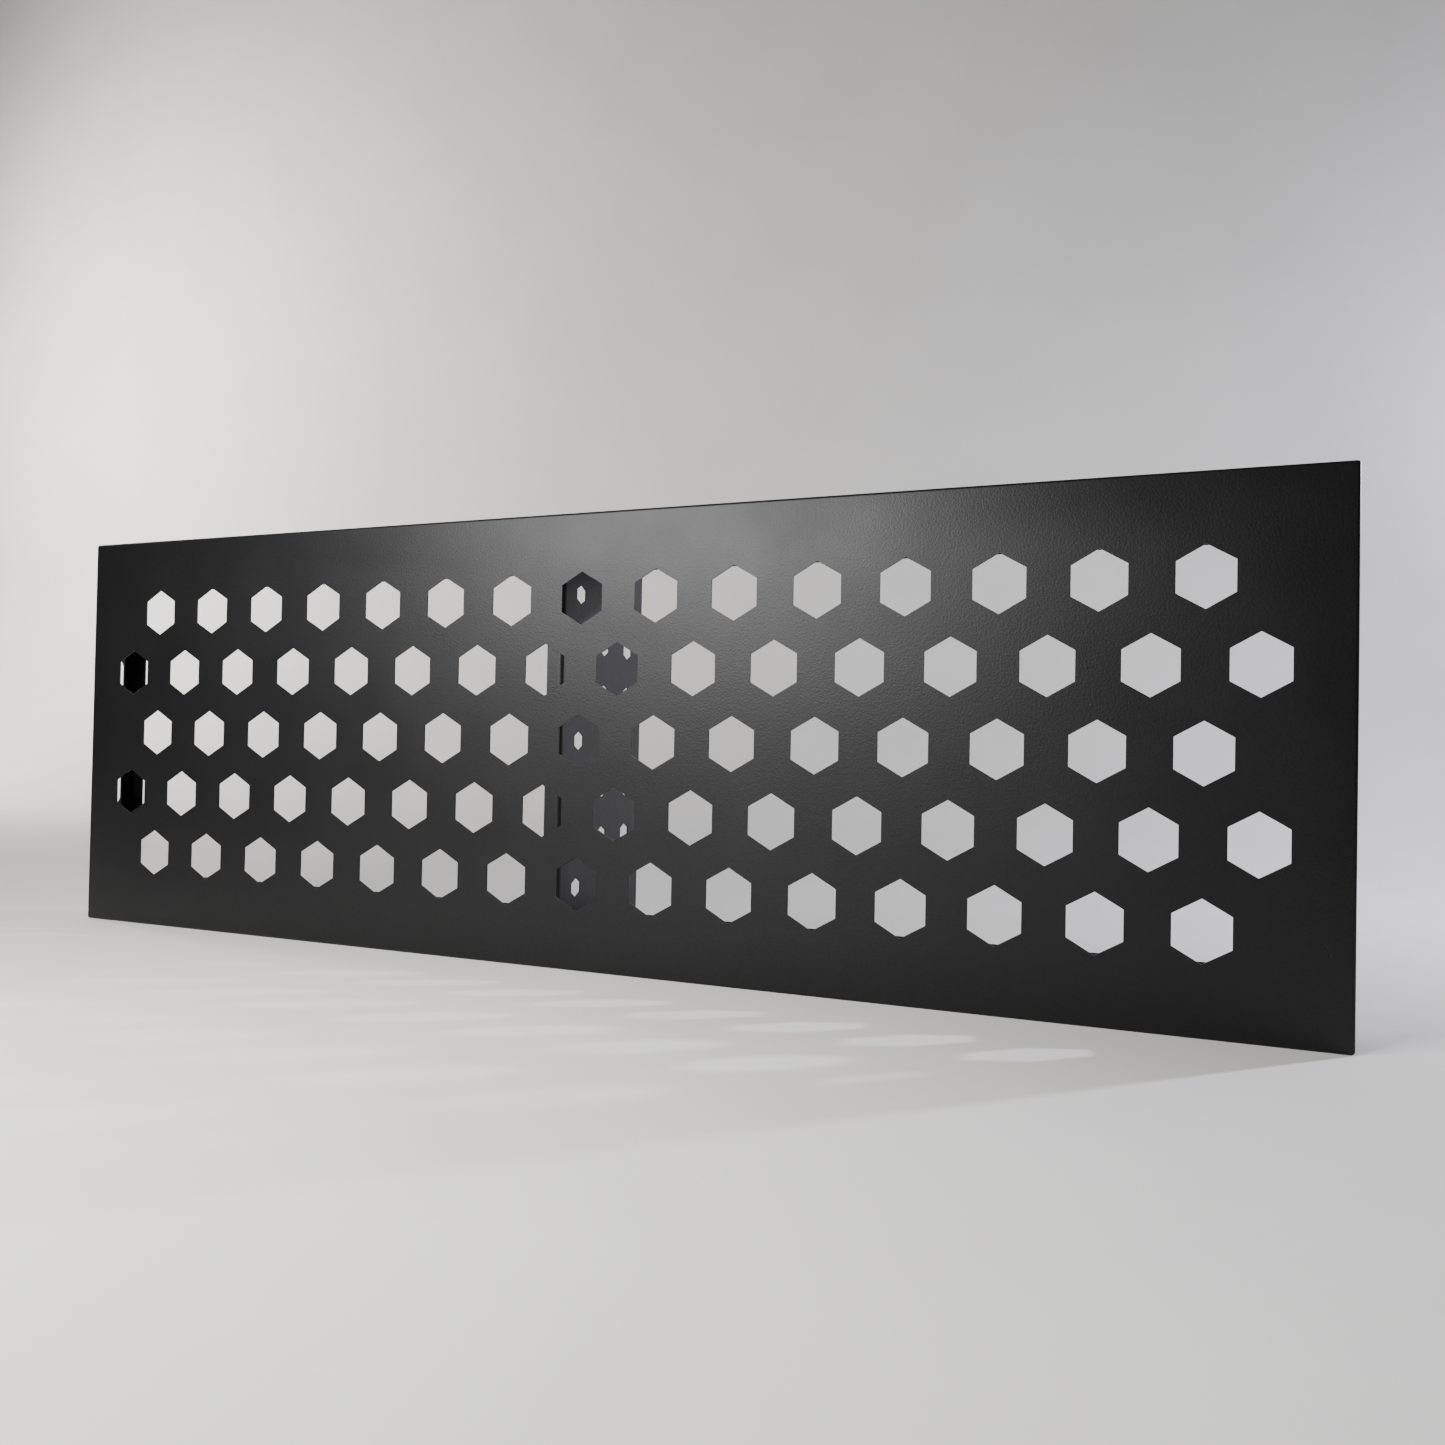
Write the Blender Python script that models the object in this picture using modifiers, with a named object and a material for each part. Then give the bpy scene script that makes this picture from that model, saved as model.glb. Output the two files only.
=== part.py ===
"""Folded steel riser with a hexagon-perforated deck, stood on one of its long walls.

One blank is folded and corner-welded into a shallow pan: the perforated deck, two deep long
walls with rear lips, and two shallow end walls with hand slots. A perforated centre rib is
spot-welded between the long walls, and rubber feet push into holes in the rear lips.

Metres, +Z up. X runs along the deck, the deck faces -Y, and the origin is under the middle
of the whole object, on the surface that it stands on.
"""

import math

import bmesh
import bpy
from mathutils import Matrix, Vector

# Overall sizes
LENGTH = 1.200
HEIGHT = 0.400
FOLDED_DEPTH = 0.155     # outside of the deck to the outside of the rear lips
SHEET = 0.0012
BEND = 0.0026            # outside radius of the deck's folds and of its dressed corner welds
GAP = 0.0003             # between pieces that touch
BEND_STEPS = 4

# Hexagons of the deck: staggered rows, points up
HEX_FLATS = 0.040
HEX_PITCH = 0.072
ROW_PITCH = HEX_PITCH * math.sqrt(3) / 2
WIDE_ROW = 16            # holes in each of the two rows next to the middle
NARROW_ROW = 15          # holes in the middle row and in the top and bottom rows

# Walls and lips
LIP = 0.0285             # width of the long walls' rear lips
END_DEPTH = 0.048        # outside of the deck to the outside of the end walls' lips
END_LIP = 0.022
SLOT_WIDTH = 0.026       # hand slot, across the end wall
SLOT_LENGTH = 0.158
SLOT_RADIUS = 0.008

# Centre rib: its web stands square to the deck, with flanges turned to the left
RIB_FACE = -0.0184       # right face of the web
RIB_FLANGE = 0.0162
RIB_BEND = 0.0042        # outside radius of the rib's folds
RIB_REAR_FLANGE = 0.012
RIB_RELIEF = 0.006       # notch between two flanges at each corner
RIB_HEX_FLATS = 0.015
RIB_HEX_PITCH = 0.045
RIB_HEX_FIRST = 0.032    # outside of the deck to the middle of the first column
RIB_HEX_COLUMNS = 3
RIB_ROW_PITCH = 0.044
RIB_ROWS = 7

# Push-in rubber feet
FOOT_RADIUS = 0.010
FOOT_HEIGHT = 0.003      # stands out of the lip
FOOT_STEM = 0.004
FOOT_BULB = 0.0052
FOOT_TAIL = 0.0065       # reaches in behind the lip
FOOT_INSET = 0.045       # end of the lip to the middle of an outer foot
FOOT_SIDES = 32

FRONT = -(FOLDED_DEPTH + FOOT_HEIGHT) / 2
REAR = FRONT + FOLDED_DEPTH
MIDDLE = HEIGHT / 2
CLEAR = 0.002            # how far a cutter reaches past what it cuts


def collection(name):
    made = bpy.data.collections.new(name)
    bpy.context.scene.collection.children.link(made)
    return made


def material(name, colour, roughness):
    made = bpy.data.materials.new(name)
    made.use_nodes = True
    shader = made.node_tree.nodes["Principled BSDF"]
    shader.inputs["Base Color"].default_value = (*colour, 1.0)
    shader.inputs["Roughness"].default_value = roughness
    return made


def block(name, low, high, folds=(), radius=0.0):
    """A box between two corners. Each fold names the two sides whose shared edge is rounded."""
    low, high = Vector(low), Vector(high)
    shape = bmesh.new()
    bmesh.ops.create_cube(shape, size=1.0)
    named = {}
    for edge in shape.edges:
        middle = (edge.verts[0].co + edge.verts[1].co) / 2
        sides = [("-" if at < 0 else "+") + axis for axis, at in zip("xyz", middle) if at]
        named["".join(sides)] = edge
    bmesh.ops.scale(shape, vec=high - low, verts=shape.verts)
    bmesh.ops.translate(shape, vec=(low + high) / 2, verts=shape.verts)
    if folds:
        bmesh.ops.bevel(shape, geom=[named[fold] for fold in folds], offset=radius,
                        segments=BEND_STEPS, profile=0.5, affect="EDGES", clamp_overlap=True)
    mesh = bpy.data.meshes.new(name)
    shape.to_mesh(mesh)
    shape.free()
    return bpy.data.objects.new(name, mesh)


def arc(centre, radius, start, end, steps=BEND_STEPS):
    """Points on a circle from one angle to another, in degrees."""
    turns = [math.radians(start + (end - start) * step / steps) for step in range(steps + 1)]
    return [(centre[0] + radius * math.cos(a), centre[1] + radius * math.sin(a)) for a in turns]


def extruded(name, outline, thickness, placed):
    """A flat outline given thickness, centred on its own plane, and made a mesh."""
    curve = bpy.data.curves.new(name, "CURVE")
    curve.dimensions = "2D"
    curve.fill_mode = "BOTH"
    curve.extrude = thickness / 2
    line = curve.splines.new("POLY")
    line.points.add(len(outline) - 1)
    line.use_cyclic_u = True
    for point, (u, v) in zip(line.points, outline):
        point.co = (u, v, 0.0, 1.0)
    flat = bpy.data.objects.new(name + "_outline", curve)
    cutters.objects.link(flat)
    bpy.context.view_layer.update()
    evaluated = flat.evaluated_get(bpy.context.evaluated_depsgraph_get())
    mesh = bpy.data.meshes.new_from_object(evaluated)
    bpy.data.objects.remove(flat)
    shape = bmesh.new()
    shape.from_mesh(mesh)
    bmesh.ops.remove_doubles(shape, verts=shape.verts, dist=1e-6)
    bmesh.ops.transform(shape, matrix=placed, verts=shape.verts)
    bmesh.ops.recalc_face_normals(shape, faces=shape.faces)
    shape.to_mesh(mesh)
    shape.free()
    return bpy.data.objects.new(name, mesh)


def hexagons(name, flats, thickness, across, columns, rows, first, step, row_step):
    """Hexagonal prisms, points up, in straight rows. They run along the axis `across`."""
    turned = {"x": (0.0, math.pi / 2, 0.0), "y": (math.pi / 2, 0.0, 0.0)}[across]
    bpy.ops.mesh.primitive_cylinder_add(vertices=6, radius=flats / math.sqrt(3),
                                        depth=thickness, rotation=turned, location=first)
    prism = bpy.context.active_object
    prism.name = name
    prism.users_collection[0].objects.unlink(prism)
    if across == "x":
        prism.data.transform(Matrix.Rotation(math.pi / 2, 4, "Z"))
    prism.data.transform(prism.matrix_world)
    prism.matrix_world = Matrix.Identity(4)
    for label, count, offset in (("columns", columns, step), ("rows", rows, row_step)):
        repeat = prism.modifiers.new(label, "ARRAY")
        repeat.count = count
        repeat.use_relative_offset = False
        repeat.use_constant_offset = True
        repeat.constant_offset_displace = offset
    return prism


def cut(target, cutter):
    """Takes the cutter's shape out of the target with a live Boolean."""
    cutters.objects.link(cutter)
    cutter.hide_render = True
    cutter.display_type = "WIRE"
    modifier = target.modifiers.new(cutter.name, "BOOLEAN")
    modifier.operation = "DIFFERENCE"
    modifier.solver = "EXACT"
    modifier.object = cutter


def finish(piece, look):
    piece.data.materials.clear()
    piece.data.materials.append(look)
    riser.objects.link(piece)
    return piece


def deck_block():
    folds = ["-x-y", "+x-y", "-y-z", "-y+z", "-x-z", "-x+z", "+x-z", "+x+z", "+y-z", "+y+z"]
    low = (-LENGTH / 2, FRONT, 0.0)
    return block("deck", low, (LENGTH / 2, REAR, HEIGHT), folds, BEND)


def deck_cavities():
    """The free space inside the folded pan: front pan, end lips' mouth, rear bay and window."""
    inside = BEND - SHEET
    half = LENGTH / 2
    past = half + CLEAR
    pan_folds = ["-x-y", "+x-y", "-y-z", "-y+z", "-x-z", "-x+z", "+x-z", "+x+z", "-x+y", "+x+y"]
    end = FRONT + END_DEPTH
    yield block("front_pan", (SHEET - half, FRONT + SHEET, SHEET),
                (half - SHEET, end - SHEET, HEIGHT - SHEET), pan_folds, inside)
    yield block("mouth", (END_LIP - half, end - SHEET - CLEAR, SHEET),
                (half - END_LIP, end + CLEAR, HEIGHT - SHEET))
    yield block("rear_bay", (-past, end, SHEET), (past, REAR - SHEET, HEIGHT - SHEET),
                ["+y-z", "+y+z"], inside)
    yield block("rear_window", (-past, REAR - SHEET - CLEAR, LIP),
                (past, REAR + CLEAR, HEIGHT - LIP))


def end_clearance(side):
    """Frees one end behind the end wall, and rounds the outside of that wall's rear fold."""
    fold_x = LENGTH / 2 - BEND
    fold_y = FRONT + END_DEPTH - BEND
    past_x = LENGTH / 2 + CLEAR
    past_y = REAR + CLEAR
    outline = arc((fold_x, fold_y), BEND, 90, 0) + [(past_x, fold_y), (past_x, past_y),
                                                    (fold_x, past_y)]
    placed = Matrix.Translation((0.0, 0.0, MIDDLE)) @ Matrix.Scale(side, 4, (1.0, 0.0, 0.0))
    return extruded(f"end_clearance_{side:+d}", outline, HEIGHT + 2 * CLEAR, placed)


def hand_slot(side):
    """A rounded slot through one end wall, in the middle of its depth."""
    u, v = SLOT_WIDTH / 2 - SLOT_RADIUS, SLOT_LENGTH / 2 - SLOT_RADIUS
    outline = (arc((u, v), SLOT_RADIUS, 0, 90) + arc((-u, v), SLOT_RADIUS, 90, 180)
               + arc((-u, -v), SLOT_RADIUS, 180, 270) + arc((u, -v), SLOT_RADIUS, 270, 360))
    upright = Matrix(((0.0, 0.0, 1.0), (1.0, 0.0, 0.0), (0.0, 1.0, 0.0))).to_4x4()
    middle = (side * (LENGTH - SHEET) / 2, FRONT + END_DEPTH / 2, MIDDLE)
    return extruded(f"hand_slot_{side:+d}", outline, SHEET + 2 * CLEAR,
                    Matrix.Translation(middle) @ upright)


def deck_hexagons(name, holes, rows, lowest):
    first = (-(holes - 1) / 2 * HEX_PITCH, FRONT + SHEET / 2, lowest)
    return hexagons(name, HEX_FLATS, SHEET + 2 * CLEAR, "y", holes, rows, first,
                    (HEX_PITCH, 0.0, 0.0), (0.0, 0.0, 2 * ROW_PITCH))


def foot_places():
    """The middle of each foot: both ends and the middle of each rear lip."""
    reach = LENGTH / 2 - FOOT_INSET
    for level, z in (("lower", LIP / 2), ("upper", HEIGHT - LIP / 2)):
        for place, x in (("left", -reach), ("middle", 0.0), ("right", reach)):
            yield f"foot_{level}_{place}", Vector((x, REAR, z))


def foot_hole(name, place):
    bpy.ops.mesh.primitive_cylinder_add(vertices=FOOT_SIDES, radius=FOOT_STEM + GAP,
                                        depth=2 * (SHEET + CLEAR), location=place,
                                        rotation=(math.pi / 2, 0.0, 0.0))
    hole = bpy.context.active_object
    hole.name = name
    hole.users_collection[0].objects.unlink(hole)
    return hole


def make_deck():
    deck = deck_block()
    for cavity in deck_cavities():
        cut(deck, cavity)
    for side in (-1, 1):
        cut(deck, end_clearance(side))
        cut(deck, hand_slot(side))
    cut(deck, deck_hexagons("narrow_rows", NARROW_ROW, 3, MIDDLE - 2 * ROW_PITCH))
    cut(deck, deck_hexagons("wide_rows", WIDE_ROW, 2, MIDDLE - ROW_PITCH))
    for name, place in foot_places():
        cut(deck, foot_hole(name + "_hole", place))
    return deck


def corner_reliefs(low, high):
    """Notches that part the rib's flanges where two of them would meet, one at each corner."""
    reach = Vector((RIB_FLANGE - RIB_BEND, RIB_RELIEF, RIB_RELIEF))
    for side, y in (("front", low.y), ("rear", high.y)):
        for level, z in (("low", low.z), ("high", high.z)):
            corner = Vector((low.x, y, z))
            yield block(f"rib_relief_{side}_{level}", corner - reach, corner + reach)


def make_rib():
    """A pan turned on its side: the web is its floor, and its four flanges point left."""
    low = Vector((RIB_FACE - RIB_FLANGE, FRONT + SHEET + GAP, SHEET + GAP))
    high = Vector((RIB_FACE, REAR - SHEET - GAP, HEIGHT - SHEET - GAP))
    wall = Vector((SHEET, SHEET, SHEET))
    past = Vector((CLEAR, CLEAR, CLEAR))
    folds = ["+x-y", "+x+y", "+x-z", "+x+z", "-y-z", "-y+z", "+y-z", "+y+z"]
    rib = block("centre_rib", low, high, folds, RIB_BEND)
    open_side = Vector((SHEET + CLEAR, 0.0, 0.0))
    inside = RIB_BEND - SHEET
    cut(rib, block("rib_inside", low + wall - open_side, high - wall, folds, inside))
    trimmed = Vector((RIB_FACE - RIB_REAR_FLANGE, high.y, high.z))
    rear_strip = Vector((low.x, high.y - SHEET, low.z))
    cut(rib, block("rib_rear_trim", rear_strip - past, trimmed + Vector((0.0, CLEAR, CLEAR))))
    for relief in corner_reliefs(low, high):
        cut(rib, relief)
    first = (RIB_FACE - SHEET / 2, FRONT + RIB_HEX_FIRST,
             MIDDLE - (RIB_ROWS - 1) / 2 * RIB_ROW_PITCH)
    cut(rib, hexagons("rib_hexagons", RIB_HEX_FLATS, SHEET + 2 * CLEAR, "x", RIB_HEX_COLUMNS,
                      RIB_ROWS, first, (0.0, RIB_HEX_PITCH, 0.0), (0.0, 0.0, RIB_ROW_PITCH)))
    return rib


def foot_mesh():
    """Half of a push-in foot's section, from the middle of its tread round to its tail."""
    edge = 0.0008
    profile = [(0.0, FOOT_HEIGHT)]
    profile += arc((FOOT_RADIUS - edge, FOOT_HEIGHT - edge), edge, 90, 0)
    profile += [(FOOT_RADIUS, GAP), (FOOT_STEM, GAP), (FOOT_STEM, -SHEET - GAP),
                (FOOT_BULB, -SHEET - 2 * GAP), (FOOT_STEM * 0.6, -FOOT_TAIL), (0.0, -FOOT_TAIL)]
    mesh = bpy.data.meshes.new("foot_section")
    lines = [(n, n + 1) for n in range(len(profile) - 1)]
    mesh.from_pydata([(r, 0.0, h) for r, h in profile], lines, [])
    return mesh


def make_foot(name, place, section):
    foot = bpy.data.objects.new(name, section)
    foot.location = place
    foot.rotation_euler = (-math.pi / 2, 0.0, 0.0)
    turn = foot.modifiers.new("turned", "SCREW")
    turn.steps = turn.render_steps = FOOT_SIDES
    turn.use_merge_vertices = True
    turn.merge_threshold = 1e-5
    return foot


for old in list(bpy.data.objects):
    bpy.data.objects.remove(old)

riser = collection("perforated_riser")
cutters = collection("cutters")
powder_coat = material("black_powder_coat", (0.018, 0.018, 0.020), 0.48)
rubber = material("black_rubber", (0.012, 0.012, 0.012), 0.8)

finish(make_deck(), powder_coat)
finish(make_rib(), powder_coat)
section = foot_mesh()
for foot_name, foot_place in foot_places():
    finish(make_foot(foot_name, foot_place, section), rubber)
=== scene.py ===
# %% [markdown]
# # A folded steel riser with a honeycomb of holes
#
# The real object is a shallow tray of 1.2 mm sheet steel. A laser cuts the flat blank, a press
# brake folds its walls and lips, the corners are welded and dressed, and the whole tray gets a
# black powder coat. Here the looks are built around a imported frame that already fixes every
# size, so nothing below invents a dimension that the frame holds: places are read from it.

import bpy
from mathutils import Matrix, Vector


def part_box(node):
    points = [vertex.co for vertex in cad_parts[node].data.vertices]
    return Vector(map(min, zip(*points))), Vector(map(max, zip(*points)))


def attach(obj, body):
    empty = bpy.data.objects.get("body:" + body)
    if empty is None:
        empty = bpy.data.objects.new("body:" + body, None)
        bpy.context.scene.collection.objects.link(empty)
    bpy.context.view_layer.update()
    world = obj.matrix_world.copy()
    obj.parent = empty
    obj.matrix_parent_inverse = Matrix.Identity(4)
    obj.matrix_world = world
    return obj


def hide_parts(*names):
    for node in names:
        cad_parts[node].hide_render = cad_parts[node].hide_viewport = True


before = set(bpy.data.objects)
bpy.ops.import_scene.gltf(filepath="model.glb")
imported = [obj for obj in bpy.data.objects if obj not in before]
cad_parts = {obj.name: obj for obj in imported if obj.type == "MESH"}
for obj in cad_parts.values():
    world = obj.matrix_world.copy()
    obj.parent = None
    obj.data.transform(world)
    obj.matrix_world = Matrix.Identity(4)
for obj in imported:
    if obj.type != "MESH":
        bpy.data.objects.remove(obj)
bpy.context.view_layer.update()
print("nodes:", sorted(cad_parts))

# %% Tools
import math

import bmesh
import bpy
import numpy as np
from mathutils import Matrix, Vector
from mathutils.geometry import delaunay_2d_cdt

MM = 0.001

# %% [markdown]
# ## The sizes of the sheet
#
# Everything about a folded part follows from a few numbers: the sheet's thickness, the radius of
# its folds, and the depth of each wall. The overall sizes come from the frame's boxes. The ones
# that a box can't tell, such as the fold radius, are named here in millimetres.

# %% Sizes
deck_low, deck_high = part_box("deck")
rib_low, rib_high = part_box("centre_rib")
SHEET = 1.2 * MM
FOLD = 2.6 * MM                    # outside radius of a fold
RIB_FOLD = 4.2 * MM                # the rib is folded over a blunter tool
HALF_LENGTH = deck_high.x
HEIGHT = deck_high.z
FRONT = deck_low.y
REAR = deck_high.y
END_DEPTH = 48 * MM
END_LIP = 22 * MM
LIP = 28.5 * MM
HEX_FLATS = 40 * MM
HEX_CORNER = 0.45 * MM             # radius that the laser leaves in a hexagon's corner
HEX_PITCH = 72 * MM
ROW_PITCH = HEX_PITCH * math.sqrt(3) / 2           # holes of two rows are a pitch apart too
ROWS = {-2: 15, -1: 16, 0: 15, 1: 16, 2: 15}    # row above the middle: holes in it
foot_boxes = {node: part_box(node) for node in sorted(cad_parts) if node.startswith("foot_")}
print("deck", [round(v / MM, 1) for v in deck_high - deck_low], "mm;", len(foot_boxes), "feet")

# %% [markdown]
# ## Camera
#
# The camera stands a little over a metre away at the height of the panel's middle, well to the
# right, and turns left by 23 degrees. A panel that is seen so close and at such a slant runs
# strongly towards its vanishing point, so the lens (29 mm on a 36 mm square) matters as much as
# the place.

# %% Camera
CAMERA_PLACE = Vector((518.2 * MM, FRONT - 889.9 * MM, 202.7 * MM))
TURN_LEFT, TILT_UP, ROLL = math.radians(23.24), math.radians(0.88), math.radians(-1.09)

lens = bpy.data.cameras.new("camera")
lens.sensor_width = lens.sensor_height = 36.0
lens.lens = 29.23
camera = bpy.data.objects.new("camera", lens)
aim = (Matrix.Rotation(TURN_LEFT, 4, "Z") @ Matrix.Rotation(math.pi / 2 + TILT_UP, 4, "X")
       @ Matrix.Rotation(-ROLL, 4, "Z"))
camera.matrix_world = Matrix.Translation(CAMERA_PLACE) @ aim
bpy.context.scene.collection.objects.link(camera)
bpy.context.scene.camera = camera
print("camera at", [round(v, 3) for v in CAMERA_PLACE], "m, lens", round(lens.lens, 2), "mm")

# %% [markdown]
# ## From numbers to a mesh
#
# Each piece is thought of as the middle surface of its sheet. Patches of that surface are
# collected as arrays, joined along their seams, and only then given their thickness. `Patches`
# is the basket that holds them: it keeps every patch's points and faces until they are merged.

# %% Patches of a middle surface
class Patches:
    """Collects patches, each an array of points and the faces between them."""

    def __init__(self):
        self.points, self.faces, self.count = [], [], 0

    def add(self, points, faces):
        """Face numbers count from this patch's first point, so the count so far is added."""
        points = np.asarray(points, float).reshape(-1, 3)
        self.points.append(points)
        self.faces += [tuple(int(v) + self.count for v in face) for face in faces]
        self.count += len(points)

    def add_grid(self, grid):
        """A grid of shape (rows, columns, 3): each square of four neighbours is a face."""
        rows, columns = grid.shape[:2]
        index = np.arange(rows * columns).reshape(rows, columns)
        corners = (index[:-1, :-1], index[:-1, 1:], index[1:, 1:], index[1:, :-1])
        self.add(grid, np.stack(corners, axis=-1).reshape(-1, 4))

    def mesh(self, name):
        """Points of two patches that lie on each other along a seam become one."""
        mesh = bpy.data.meshes.new(name)
        mesh.from_pydata(np.vstack(self.points).tolist(), [], self.faces)
        welded = bmesh.new()
        welded.from_mesh(mesh)
        bmesh.ops.remove_doubles(welded, verts=welded.verts, dist=0.01 * MM)
        bmesh.ops.dissolve_degenerate(welded, edges=welded.edges, dist=0.001 * MM)
        bmesh.ops.recalc_face_normals(welded, faces=welded.faces)
        welded.to_mesh(mesh)
        welded.free()
        return mesh


# %% [markdown]
# ## Outlines
#
# A laser leaves hexagons with slightly rounded corners, because the beam has a width and the
# coat fills the corner a little more. An outline is a list of corners; each corner is swapped for
# a short arc. The arc's middle lies on the corner's bisector, far enough in that it touches both
# sides.

# %% Outlines with rounded corners
def rounded(corners, radius, steps=4):
    """Each corner becomes an arc: centre = corner + bisector * radius / sin(half the angle)."""
    corners = np.asarray(corners, float)
    to_last = np.roll(corners, 1, axis=0) - corners
    to_next = np.roll(corners, -1, axis=0) - corners
    to_last /= np.linalg.norm(to_last, axis=1, keepdims=True)
    to_next /= np.linalg.norm(to_next, axis=1, keepdims=True)
    bisector = to_last + to_next
    bisector /= np.linalg.norm(bisector, axis=1, keepdims=True)
    half = np.arccos(np.clip((to_last * to_next).sum(1), -1, 1)) / 2
    centre = corners + bisector * (radius / np.sin(half))[:, None]
    sweep = (math.pi / 2 - half)[:, None] * np.linspace(-1, 1, steps + 1)[None, :]
    side = np.stack([-bisector[:, 1], bisector[:, 0]], axis=1)
    side[(to_next * side).sum(1) <= 0] *= -1
    out = (centre[:, None] - radius * (bisector[:, None] * np.cos(sweep)[..., None]
           - side[:, None] * np.sin(sweep)[..., None]))
    return out.reshape(-1, 2)


def hexagon(centre, flats, radius):
    """Six corners at flats / sqrt(3) from the middle, the first one straight up."""
    angle = math.pi / 2 + np.arange(6) * math.pi / 3
    corners = np.stack([np.cos(angle), np.sin(angle)], axis=1) * flats / math.sqrt(3)
    return rounded(corners, radius) + centre


def circle(centre, radius, count=28):
    """Points at centre + radius * (cos a, sin a)."""
    angle = np.arange(count) * 2 * math.pi / count
    return np.stack([np.cos(angle), np.sin(angle)], axis=1) * radius + centre


def grown(outline, by):
    """Every point moved outwards along the mean of its two sides' normals."""
    ahead = np.roll(outline, -1, axis=0) - outline
    behind = outline - np.roll(outline, 1, axis=0)
    ahead /= np.linalg.norm(ahead, axis=1, keepdims=True)
    behind /= np.linalg.norm(behind, axis=1, keepdims=True)
    along = ahead + behind
    along /= np.linalg.norm(along, axis=1, keepdims=True)
    area = (outline[:, 0] * np.roll(outline[:, 1], -1)
            - outline[:, 1] * np.roll(outline[:, 0], -1)).sum()
    normal = np.stack([along[:, 1], -along[:, 0]], axis=1) * math.copysign(1, area)
    return outline + normal * by


# %% [markdown]
# ## A flat panel with holes
#
# The flat between the holes has no detail, so it can be any triangles. What the eye sees is the
# rim of each hole, so every hole first gets a narrow ring of even four-sided faces, on which the
# edge can later be rounded. The rest is filled by a Delaunay triangulation that has to keep the
# rings' edges.

# %% Flat panels
RIM = 1.4 * MM
DENT_RINGS = 7
INSIDE_ONLY, SAME_POINT = 1, 1e-7  # what the triangulation keeps, and what it joins


def add_panel(patches, outline, holes, corner, across, up, dents=(), radius=0.0, push=(0, 0, 0)):
    """Outline, holes and dents in (u, v); a point is corner + u * across + v * up.
    In a dent, a point at distance r from its middle moves by push * (1 - (r / radius)^2)^2."""
    across, up, corner, push = (np.asarray(v, float) for v in (across, up, corner, push))

    def place(flat):
        return corner + flat[:, :1] * across + flat[:, 1:] * up

    rims = [circle(middle, radius) for middle in dents]
    for middle, rim in zip(dents, rims):
        closed = np.vstack([rim, rim[:1]]) - middle
        patches.add_grid(np.stack([place(middle + share * closed) + push * (1 - share ** 2) ** 2
                                   for share in np.linspace(1, 0, DENT_RINGS)]))
    holes = [*holes, *rims]
    rings = [grown(hole, RIM) for hole in holes]
    for hole, ring in zip(holes, rings):
        closed = np.stack([place(np.vstack([line, line[:1]])) for line in (hole, ring)])
        patches.add_grid(closed)
    loops = [np.asarray(outline, float), *rings]
    starts = np.cumsum([0] + [len(loop) for loop in loops])
    chains = [list(range(a, b)) for a, b in zip(starts[:-1], starts[1:])]
    flat_points = [Vector(p) for p in np.vstack(loops)]
    # Chain 0 is the outline, and a face that lies inside a ring's chain as well is left out.
    found = delaunay_2d_cdt(flat_points, [], chains, INSIDE_ONLY, SAME_POINT, True)
    kept = [face for face, source in zip(found[2], found[5]) if source == [0]]
    patches.add(place(np.array([tuple(p) for p in found[0]])), kept)


# %% [markdown]
# ## Folds and corners
#
# A press brake turns a flat flap about a straight line. Seen from the end it is a quarter circle
# followed by a straight, so a fold is that profile carried along the panel's edge. Where two
# walls meet at a welded corner, the fold runs round the corner as an eighth of a sphere on top of
# a quarter of a cylinder.

# %% Folds
FOLD_STEPS = 6
QUARTER = np.linspace(0, math.pi / 2, FOLD_STEPS + 1)


def add_fold(patches, start, end, out, turned, flats, outside=FOLD):
    """From an edge, a quarter turn from `out` to `turned`, then flats of the given lengths.
    Profile = edge + out * R sin(a) + turned * R (1 - cos(a)). Returns the flap's last edge."""
    start, end, out, turned = (np.asarray(v, float) for v in (start, end, out, turned))
    middle = outside - SHEET / 2
    profile = (out * middle * np.sin(QUARTER)[:, None]
               + turned * middle * (1 - np.cos(QUARTER))[:, None])
    for reach in np.cumsum(flats):
        profile = np.vstack([profile, profile[FOLD_STEPS] + turned * reach])
    patches.add_grid(np.stack([start + profile, end + profile]))
    return start + profile[-1], end + profile[-1]


def add_corner(patches, centre, right, up, back, depth):
    """An eighth of a sphere about `centre`, then a quarter cylinder of that depth."""
    centre, right, up, back = (np.asarray(v, float) for v in (centre, right, up, back))
    around = right * np.cos(QUARTER)[:, None] + up * np.sin(QUARTER)[:, None]
    middle = FOLD - SHEET / 2
    cap = [centre + middle * (around * math.sin(a) - back * math.cos(a)) for a in QUARTER]
    wall = centre + middle * around
    patches.add_grid(np.stack(cap + [wall + back * depth]))


# %% [markdown]
# ## Thickness and soft edges
#
# The middle surface gets its 1.2 mm by Solidify, half to each side. Powder runs off sharp edges
# while it cures and leaves them round, with a thinner, glossier coat. A small Bevel on every
# right-angled edge catches the light as the real one does. The cut faces inside the holes and the
# faces of the bevel take a second material for that thin coat.

# %% Finish a sheet piece
EDGE_ROUND = 0.18 * MM
SHARPER_THAN = math.radians(60)    # only cut edges are; the folds' own steps turn 15 degrees


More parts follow.
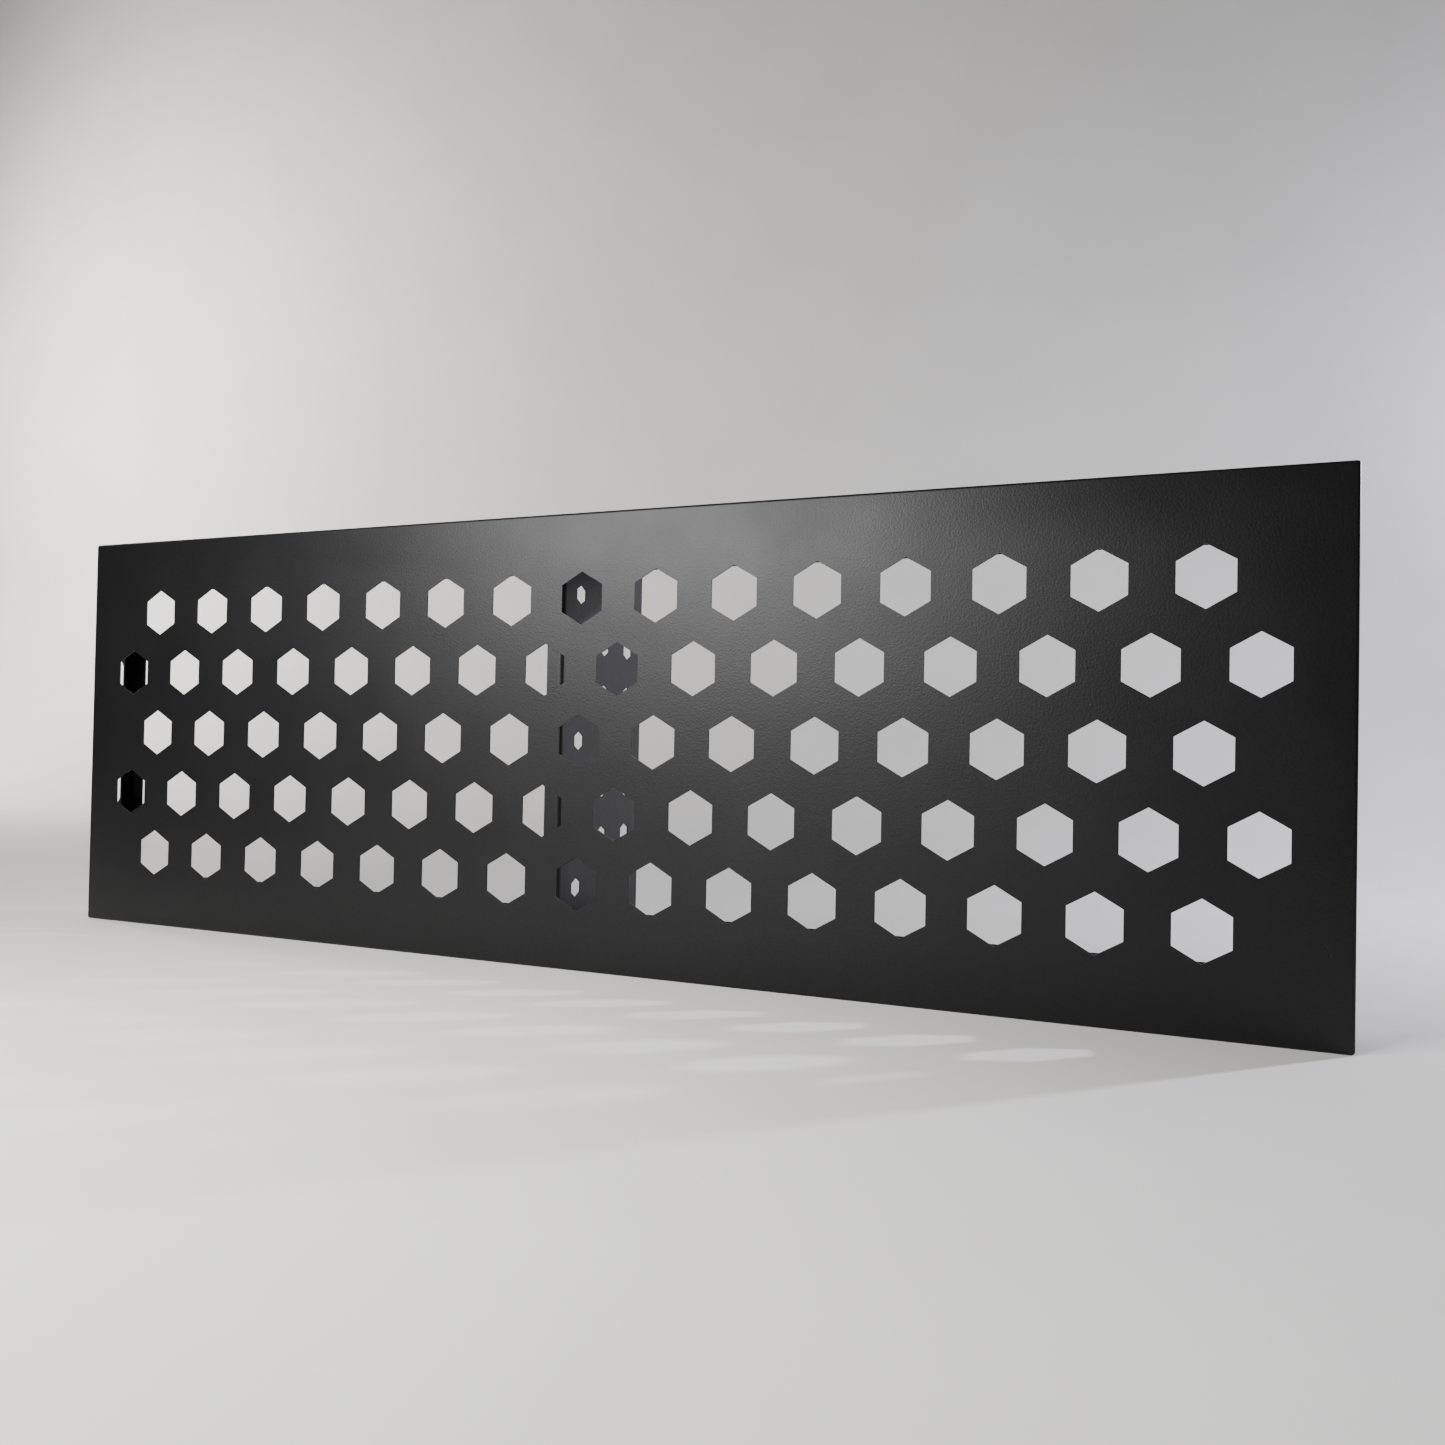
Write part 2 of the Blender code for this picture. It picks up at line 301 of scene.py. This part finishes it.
def sheet_piece(name, patches, node, looks):
    """Middle surface, moved half the sheet's thickness to both sides, with its edges rounded."""
    piece = bpy.data.objects.new(name, patches.mesh(name))
    bpy.context.scene.collection.objects.link(piece)
    for look in looks:
        piece.data.materials.append(look)
    wall = piece.modifiers.new("sheet thickness", "SOLIDIFY")
    wall.thickness = SHEET
    wall.offset = 0.0
    wall.use_even_offset = True
    wall.material_offset_rim = 1
    edge = piece.modifiers.new("coat on the edges", "BEVEL")
    edge.width = EDGE_ROUND
    edge.segments = 2
    edge.limit_method = "ANGLE"
    edge.angle_limit = SHARPER_THAN
    edge.harden_normals = True
    edge.material = 1
    piece.data.shade_smooth()
    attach(piece, "root")
    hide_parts(node)
    return piece


# %% [markdown]
# ## Colours and shader nodes
#
# Colours are picked as sRGB hex values, as a paint chart gives them, and turned to linear light
# by the standard curve. One helper adds a shader node, sets what it is told and joins its links.

# %% Colours and nodes
def linear(hex_colour):
    """sRGB hex to linear RGBA: below 0.04045 divide by 12.92, above it a 2.4 power."""
    parts = np.array([int(hex_colour[i:i + 2], 16) for i in (1, 3, 5)]) / 255
    light = np.where(parts <= 0.04045, parts / 12.92, ((parts + 0.055) / 1.055) ** 2.4)
    return (*light.tolist(), 1.0)


def add_node(tree, kind, settings=None, values=None, links=None):
    """Adds one node. `values` are socket defaults; `links` map a socket to another's output."""
    made = tree.nodes.new(kind)
    for name, value in (settings or {}).items():
        setattr(made, name, value)
    for socket, value in (values or {}).items():
        made.inputs[socket].default_value = value
    for socket, source in (links or {}).items():
        tree.links.new(source, made.inputs[socket])
    return made


def new_material(name):
    """A material, its node tree and the shader that every look here is built on."""
    made = bpy.data.materials.new(name)
    made.use_nodes = True
    return made, made.node_tree, made.node_tree.nodes["Principled BSDF"]


# %% [markdown]
# ## Black powder coat
#
# Polyester powder is sprayed dry and melts into a film some 70 microns thick. It never levels
# fully: a long, very shallow wave ("orange peel", 3 to 6 mm) carries a fine grain of about half a
# millimetre. The film is black plastic, so it is a dielectric with the gloss of satin; its rough
# skin scatters part of the shine, so its index is set below that of clean polyester. The grain
# is drawn coarser than real, at 1.8 mm, because finer would vanish in the render.

# %% Powder coat
PEEL, GRAIN, CLOUD = 4.5 * MM, 1.8 * MM, 90 * MM    # size of the wave, the grain, the uneven shine


def powder_coat(name, colour, rough, grain_depth):
    """Grain on top of a shallow wave; a grain is up to a quarter darker or lighter."""
    look, tree, shader = new_material(name)
    place = add_node(tree, "ShaderNodeTexCoord").outputs["Object"]
    peel = add_node(tree, "ShaderNodeTexNoise", values={
        "Scale": 1 / PEEL, "Detail": 1.0, "Roughness": 0.4}, links={"Vector": place})
    grain = add_node(tree, "ShaderNodeTexNoise", values={
        "Scale": 1 / GRAIN, "Detail": 2.0, "Roughness": 0.6}, links={"Vector": place})
    cloud = add_node(tree, "ShaderNodeTexNoise", values={
        "Scale": 1 / CLOUD, "Detail": 3.0, "Roughness": 0.55}, links={"Vector": place})
    wave = add_node(tree, "ShaderNodeBump", values={
        "Strength": 0.2, "Distance": 0.05 * MM}, links={"Height": peel.outputs["Fac"]})
    bump = add_node(tree, "ShaderNodeBump", values={
        "Strength": 1.0, "Distance": grain_depth},
        links={"Height": grain.outputs["Fac"], "Normal": wave.outputs["Normal"]})
    tint = add_node(tree, "ShaderNodeMapRange", values={
        "From Min": 0.3, "From Max": 0.7, "To Min": 0.75, "To Max": 1.25},
        links={"Value": grain.outputs["Fac"]})
    paint = add_node(tree, "ShaderNodeVectorMath", settings={"operation": "SCALE"},
                     values={0: linear(colour)[:3]}, links={"Scale": tint.outputs["Result"]})
    gloss = add_node(tree, "ShaderNodeMapRange", values={
        "From Min": 0.35, "From Max": 0.65, "To Min": rough - 0.02, "To Max": rough + 0.03},
        links={"Value": cloud.outputs["Fac"]})
    tree.links.new(paint.outputs["Vector"], shader.inputs["Base Color"])
    tree.links.new(gloss.outputs["Result"], shader.inputs["Roughness"])
    tree.links.new(bump.outputs["Normal"], shader.inputs["Normal"])
    shader.inputs["IOR"].default_value = 1.34
    return look


coat = powder_coat("black powder coat", "#0e0e0f", rough=0.41, grain_depth=0.14 * MM)
edge_coat = powder_coat("black powder coat, thin on edges", "#1a1a1b",
                        rough=0.24, grain_depth=0.01 * MM)
print("looks of the sheet:", coat.name, "and", edge_coat.name)

# %% [markdown]
# ## The deck
#
# One blank makes the face, the walls and the lips. The face is a flat panel with five staggered
# rows of hexagons and, near one corner, two small pits from handling. Round it run the folds: two
# deep long walls that turn in again as rear lips, and two shallow end walls with a hand slot,
# which turn in as end lips.

# %% Deck: face with its holes
deck = Patches()
MIDDLE_Z = HEIGHT / 2
MID_FRONT = FRONT + SHEET / 2
flat_x, flat_z = HALF_LENGTH - FOLD, HEIGHT / 2 - FOLD
face_holes = [hexagon(((n - (count - 1) / 2) * HEX_PITCH, row * ROW_PITCH), HEX_FLATS, HEX_CORNER)
              for row, count in ROWS.items() for n in range(count)]
face_outline = [(-flat_x, -flat_z), (flat_x, -flat_z), (flat_x, flat_z), (-flat_x, flat_z)]
KNOCKS = [(582 * MM, -129 * MM), (584.2 * MM, -134 * MM)]      # two small pits near a corner
KNOCK_RADIUS, KNOCK_DEPTH = 1.2 * MM, 0.3 * MM
add_panel(deck, face_outline, face_holes, (0, MID_FRONT, MIDDLE_Z), (1, 0, 0), (0, 0, 1),
          KNOCKS, KNOCK_RADIUS, (0, KNOCK_DEPTH, 0))
print(len(face_holes), "holes in the face")

# %% Deck: long walls with their rear lips
FOOT_HOLE_RADIUS = 4.3 * MM
BACK = np.array((0.0, 1.0, 0.0))
weld_depth = END_DEPTH - 2 * FOLD
wall_flats = [weld_depth, REAR - FRONT - END_DEPTH]
# Both lips have feet at the same places, so each place is kept once.
foot_places = sorted({round((low.x + high.x) / 2, 5) for low, high in foot_boxes.values()})
foot_holes = [circle((x, 0.0), FOOT_HOLE_RADIUS) for x in foot_places]
for side in (-1, 1):
    z = MIDDLE_Z + side * flat_z
    edge = add_fold(deck, (-flat_x, MID_FRONT, z), (flat_x, MID_FRONT, z),
                    (0, 0, side), BACK, wall_flats)
    edge = add_fold(deck, *edge, BACK, (0, 0, -side), [])
    lip_width = LIP - FOLD
    lip_centre = LIP / 2 - FOLD
    outline = [(-flat_x, -lip_centre), (flat_x, -lip_centre),
               (flat_x, lip_width - lip_centre), (-flat_x, lip_width - lip_centre)]
    corner = (0, REAR - SHEET / 2, MIDDLE_Z + side * (HEIGHT / 2 - LIP / 2))
    add_panel(deck, outline, foot_holes, corner, (1, 0, 0), (0, 0, -side))
print("feet at", [round(x / MM) for x in foot_places], "mm along the lips")

# %% Deck: end walls with hand slots, and their lips
SLOT_WIDTH, SLOT_LENGTH, SLOT_RADIUS = 26 * MM, 158 * MM, 8 * MM
slot_u, slot_v = SLOT_WIDTH / 2, SLOT_LENGTH / 2
slot_middle = END_DEPTH / 2 - FOLD
slot = rounded([(slot_middle - slot_u, -slot_v), (slot_middle + slot_u, -slot_v),
                (slot_middle + slot_u, slot_v), (slot_middle - slot_u, slot_v)], SLOT_RADIUS, 8)
for side in (-1, 1):
    x = side * flat_x
    low, high = (x, MID_FRONT, MIDDLE_Z - flat_z), (x, MID_FRONT, MIDDLE_Z + flat_z)
    edge = add_fold(deck, low, high, (side, 0, 0), BACK, [])
    outline = [(0, -flat_z), (weld_depth, -flat_z), (weld_depth, flat_z), (0, flat_z)]
    add_panel(deck, outline, [slot], (edge[0][0], edge[0][1], MIDDLE_Z), BACK, (0, 0, 1))
    rear = [point + BACK * weld_depth for point in edge]
    add_fold(deck, *rear, BACK, (-side, 0, 0), [END_LIP - FOLD])
    for level in (-1, 1):
        centre = (x, FRONT + FOLD, MIDDLE_Z + level * flat_z)
        add_corner(deck, centre, (side, 0, 0), (0, 0, level), BACK, weld_depth)

folded_deck = sheet_piece("folded_deck", deck, "deck", [coat, edge_coat])
print("deck surface:", len(folded_deck.data.vertices), "points")

# %% [markdown]
# ## The centre rib
#
# The rib is a pan on its side. Its web stands square to the deck and carries three columns of
# small hexagons; four narrow flanges turn to the left. The front flange lies on the deck's back,
# the top and bottom ones on the long walls, and the narrower rear one stiffens the free edge.
# Small reliefs keep the flanges apart at the corners, as the press brake needs.

# %% Rib web
rib = Patches()
RIB_RELIEF = 6 * MM
RIB_REAR_FLANGE = 12 * MM
RIB_HEX_FLATS, RIB_HEX_PITCH, RIB_ROW_PITCH = 15 * MM, 45 * MM, 44 * MM
RIB_COLUMNS, RIB_ROWS = range(3), range(-3, 4)
FIRST_COLUMN = FRONT + 32 * MM
web_x = rib_high.x - SHEET / 2
notch = RIB_RELIEF - RIB_FOLD
y0, z0 = rib_low.y + RIB_FOLD, rib_low.z + RIB_FOLD
y1, z1 = rib_high.y - RIB_FOLD, rib_high.z - RIB_FOLD
web_outline = [(y0, z0), (y0 + notch, z0), (y1 - notch, z0), (y1, z0), (y1, z0 + notch),
               (y1, z1 - notch), (y1, z1), (y1 - notch, z1), (y0 + notch, z1), (y0, z1),
               (y0, z1 - notch), (y0, z0 + notch)]
web_holes = [hexagon((FIRST_COLUMN + column * RIB_HEX_PITCH, MIDDLE_Z + row * RIB_ROW_PITCH),
                     RIB_HEX_FLATS, HEX_CORNER) for column in RIB_COLUMNS for row in RIB_ROWS]
add_panel(rib, web_outline, web_holes, (web_x, 0, 0), (0, 1, 0), (0, 0, 1))
print(len(web_holes), "holes in the rib's web")

# %% [markdown]
# The front, top and bottom flanges are spot-welded. Each weld leaves a round dent where the
# electrode pressed, 6 mm wide and a quarter of a millimetre deep. On the front flange the dents
# sit between the deck's holes, where there is steel behind them. The rear flange only stiffens.

# %% Rib flanges
WELD_RADIUS, WELD_DEPTH = 3 * MM, 0.25 * MM
END_WELD = 168 * MM                # above and below the outer rows of the deck's holes
LEFT = np.array((-1.0, 0.0, 0.0))


def add_flange(start, end, out, width, welds):
    """A fold and its flange; welds are distances along it from its middle."""
    start, end = add_fold(rib, start, end, out, LEFT, [], RIB_FOLD)
    along = (end - start) / np.linalg.norm(end - start)
    half = np.linalg.norm(end - start) / 2
    outline = [(0, -half), (width, -half), (width, half), (0, half)]
    dents = [(width / 2, distance) for distance in welds]
    add_panel(rib, outline, [], (start + end) / 2, LEFT, along,
              dents, WELD_RADIUS, np.array(out, float) * WELD_DEPTH)


broad, narrow = rib_high.x - rib_low.x - RIB_FOLD, RIB_REAR_FLANGE - RIB_FOLD
between_holes = [-END_WELD, -2 * ROW_PITCH, 0.0, 2 * ROW_PITCH, END_WELD]
by_columns = [-RIB_HEX_PITCH, 0.0, RIB_HEX_PITCH]
add_flange((web_x, y0, z0 + notch), (web_x, y0, z1 - notch), (0, -1, 0), broad, between_holes)
add_flange((web_x, y1, z0 + notch), (web_x, y1, z1 - notch), (0, 1, 0), narrow, [])
add_flange((web_x, y0 + notch, z0), (web_x, y1 - notch, z0), (0, 0, -1), broad, by_columns)
add_flange((web_x, y0 + notch, z1), (web_x, y1 - notch, z1), (0, 0, 1), broad, by_columns)
folded_rib = sheet_piece("folded_centre_rib", rib, "centre_rib", [coat, edge_coat])
print("rib surface:", len(folded_rib.data.vertices), "points")

# %% [markdown]
# ## Rubber feet
#
# A push-in foot is moulded in one piece: a flat tread with a rounded edge and a shallow dish that
# grips like a sucker, a stem that just passes the hole in the lip, and a barbed tail that
# squeezes through and holds. It is a turned shape, so its profile is carried round an axis.

# %% Feet
def carried_round(profile, sides=48):
    """Radius and height pairs, carried round the axis: (r cos a, h, r sin a)."""
    profile = np.asarray(profile, float)
    angle = np.linspace(0, 2 * math.pi, sides + 1)
    radius, height = profile[:, 0][None, :], profile[:, 1][None, :]
    grid = np.stack([radius * np.cos(angle)[:, None],
                     np.broadcast_to(height, (sides + 1, len(profile))),
                     radius * np.sin(angle)[:, None]], axis=-1)
    patches = Patches()
    patches.add_grid(grid)
    return patches


def arc_points(centre, radius, start, end, steps=5):
    """Points at centre + radius * (cos a, sin a), for a from start to end in degrees."""
    angle = np.radians(np.linspace(start, end, steps + 1))
    return np.stack([np.cos(angle), np.sin(angle)], axis=1) * radius + centre


def foot_profile():
    """From the middle of the tread's dish, over the rim, down the stem, to the tail's tip."""
    dish = [(0.0, 2.5 * MM), (3.0 * MM, 2.55 * MM), (5.6 * MM, 2.75 * MM), (6.4 * MM, 3.0 * MM)]
    rim = arc_points((9.0 * MM, 2.0 * MM), 1.0 * MM, 90, 0)
    side = [(10.0 * MM, 0.9 * MM)]
    hem = arc_points((9.5 * MM, 0.75 * MM), 0.45 * MM, 0, -90, 3)
    stem = [(4.0 * MM, 0.3 * MM), (4.0 * MM, -1.5 * MM)]
    barb = arc_points((4.4 * MM, -2.2 * MM), 0.7 * MM, 90, -20, 4)
    tail = [(3.4 * MM, -5.2 * MM), (2.9 * MM, -6.2 * MM), (2.3 * MM, -6.5 * MM), (0.0, -6.5 * MM)]
    return np.vstack([dish, rim, side, hem, stem, barb, tail])


def moulded_rubber():
    """Solid black EPDM: matt, with the fine spark-eroded texture of its mould."""
    look, tree, shader = new_material("moulded black rubber")
    place = add_node(tree, "ShaderNodeTexCoord").outputs["Object"]
    skin = add_node(tree, "ShaderNodeTexNoise", values={
        "Scale": 1 / (0.6 * MM), "Detail": 3.0}, links={"Vector": place})
    bloom = add_node(tree, "ShaderNodeTexNoise", values={
        "Scale": 1 / (7 * MM), "Detail": 2.0}, links={"Vector": place})
    shade = add_node(tree, "ShaderNodeMapRange", values={
        "From Min": 0.3, "From Max": 0.7, "To Min": 0.8, "To Max": 1.35},
        links={"Value": bloom.outputs["Fac"]})
    body = add_node(tree, "ShaderNodeVectorMath", settings={"operation": "SCALE"},
                    values={0: linear("#1a1a1a")[:3]}, links={"Scale": shade.outputs["Result"]})
    bump = add_node(tree, "ShaderNodeBump", values={"Strength": 0.6, "Distance": 0.04 * MM},
                    links={"Height": skin.outputs["Fac"]})
    tree.links.new(body.outputs["Vector"], shader.inputs["Base Color"])
    tree.links.new(bump.outputs["Normal"], shader.inputs["Normal"])
    shader.inputs["Roughness"].default_value = 0.72
    shader.inputs["IOR"].default_value = 1.52
    return look


rubber = moulded_rubber()
foot_mesh = carried_round(foot_profile()).mesh("push_in_foot")
foot_mesh.materials.append(rubber)
for node, (low, high) in foot_boxes.items():
    foot = bpy.data.objects.new("rubber_" + node, foot_mesh.copy())
    foot.data.transform(Matrix.Translation(((low.x + high.x) / 2, REAR, (low.z + high.z) / 2)))
    foot.data.shade_smooth()
    foot.data.set_sharp_from_angle(angle=math.radians(50))
    bpy.context.scene.collection.objects.link(foot)
    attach(foot, "root")
    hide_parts(node)
print(len(foot_boxes), "feet of", len(foot_mesh.vertices), "points each")

# %% [markdown]
# ## A seamless paper sweep
#
# The floor of a product studio rises behind the object in one curve, so there is no horizon. It
# is a profile, flat, quarter circle, upright, carried sideways.

# %% Sweep
def paper_sweep():
    """Profile: (floor_far + bend * sin a, bend * (1 - cos a)), between two straights. Matt paper
    has next to no shine: its fibres scatter the light, and their clumps shade it a little."""
    bend, half_width, top = 0.9, 6.0, 6.0
    floor_near, floor_far = -6.0, 1.0
    angle = np.linspace(0, math.pi / 2, 25)
    curve = np.stack([floor_far + bend * np.sin(angle), bend * (1 - np.cos(angle))], axis=1)
    profile = np.vstack([[floor_near, 0.0], curve, [floor_far + bend, top]])
    grid = np.stack([np.column_stack([np.full(len(profile), x), profile])
                     for x in (-half_width, half_width)])
    patches = Patches()
    patches.add_grid(grid)
    sweep = bpy.data.objects.new("paper_sweep", patches.mesh("paper_sweep"))
    bpy.context.scene.collection.objects.link(sweep)
    sweep.data.shade_smooth()
    look, tree, shader = new_material("matt white background paper")
    place = add_node(tree, "ShaderNodeTexCoord").outputs["Object"]
    fibre = add_node(tree, "ShaderNodeTexNoise", values={
        "Scale": 1 / (220 * MM), "Detail": 5.0, "Roughness": 0.5}, links={"Vector": place})
    shade = add_node(tree, "ShaderNodeMapRange", values={
        "From Min": 0.3, "From Max": 0.7, "To Min": 0.97, "To Max": 1.03},
        links={"Value": fibre.outputs["Fac"]})
    body = add_node(tree, "ShaderNodeVectorMath", settings={"operation": "SCALE"},
                    values={0: linear("#e1dfda")[:3]}, links={"Scale": shade.outputs["Result"]})
    tree.links.new(body.outputs["Vector"], shader.inputs["Base Color"])
    shader.inputs["Roughness"].default_value = 0.85
    sweep.data.materials.append(look)
    print("paper curves up from", floor_far, "m behind the middle, to", top, "m")


paper_sweep()

# %% [markdown]
# ## Light
#
# A small hard light behind the right end, nearly twice as high as the panel, shines through the
# holes and throws the slanting hexagons on the floor. A soft box in front, left of the camera and
# a little above the panel, gives the satin face its one broad glow. Three more are aimed at the
# paper: one on the left makes it fade from left to right, and two on the right, slightly cooler,
# lift its other edge.

# %% Lights
def soft_box(name, place, target, size, power, colour="#ffffff"):
    """A lit rectangle; place, target and size are in metres, and power is in watts."""
    lamp = bpy.data.lights.new(name, "AREA")
    lamp.shape = "RECTANGLE"
    lamp.size, lamp.size_y = size
    lamp.energy = power
    lamp.color = linear(colour)[:3]
    holder = bpy.data.objects.new(name, lamp)
    holder.location = place
    aim_at = Vector(target) - Vector(place)
    holder.rotation_euler = aim_at.to_track_quat("-Z", "Y").to_euler()
    bpy.context.scene.collection.objects.link(holder)
    print(name, power, "W from", [round(v, 2) for v in place])


soft_box("hard_back_light", (1.44, 0.81, 0.763), (0.0, -0.1, 0.2), (0.05, 0.05), 26.0, "#f1efff")
soft_box("front_glow", (-0.27, -0.94, 0.62), (0.1, 0.0, 0.3), (0.75, 0.45), 25.0)
soft_box("left_wash", (-3.2, 0.5, 1.4), (-2.2, 1.9, 1.0), (1.0, 1.2), 82.0)
soft_box("right_wash", (1.9, 1.15, 0.8), (1.15, 1.9, 0.7), (0.4, 0.5), 12.0, "#e6e4ff")
soft_box("right_edge", (1.4, 1.4, 1.0), (1.0, 1.9, 0.8), (0.3, 0.3), 4.0, "#e6e4ff")

world = bpy.data.worlds.new("studio")
bpy.context.scene.world = world
world.use_nodes = True
world.node_tree.nodes["Background"].inputs["Color"].default_value = linear("#eef0f4")
world.node_tree.nodes["Background"].inputs["Strength"].default_value = 0.1
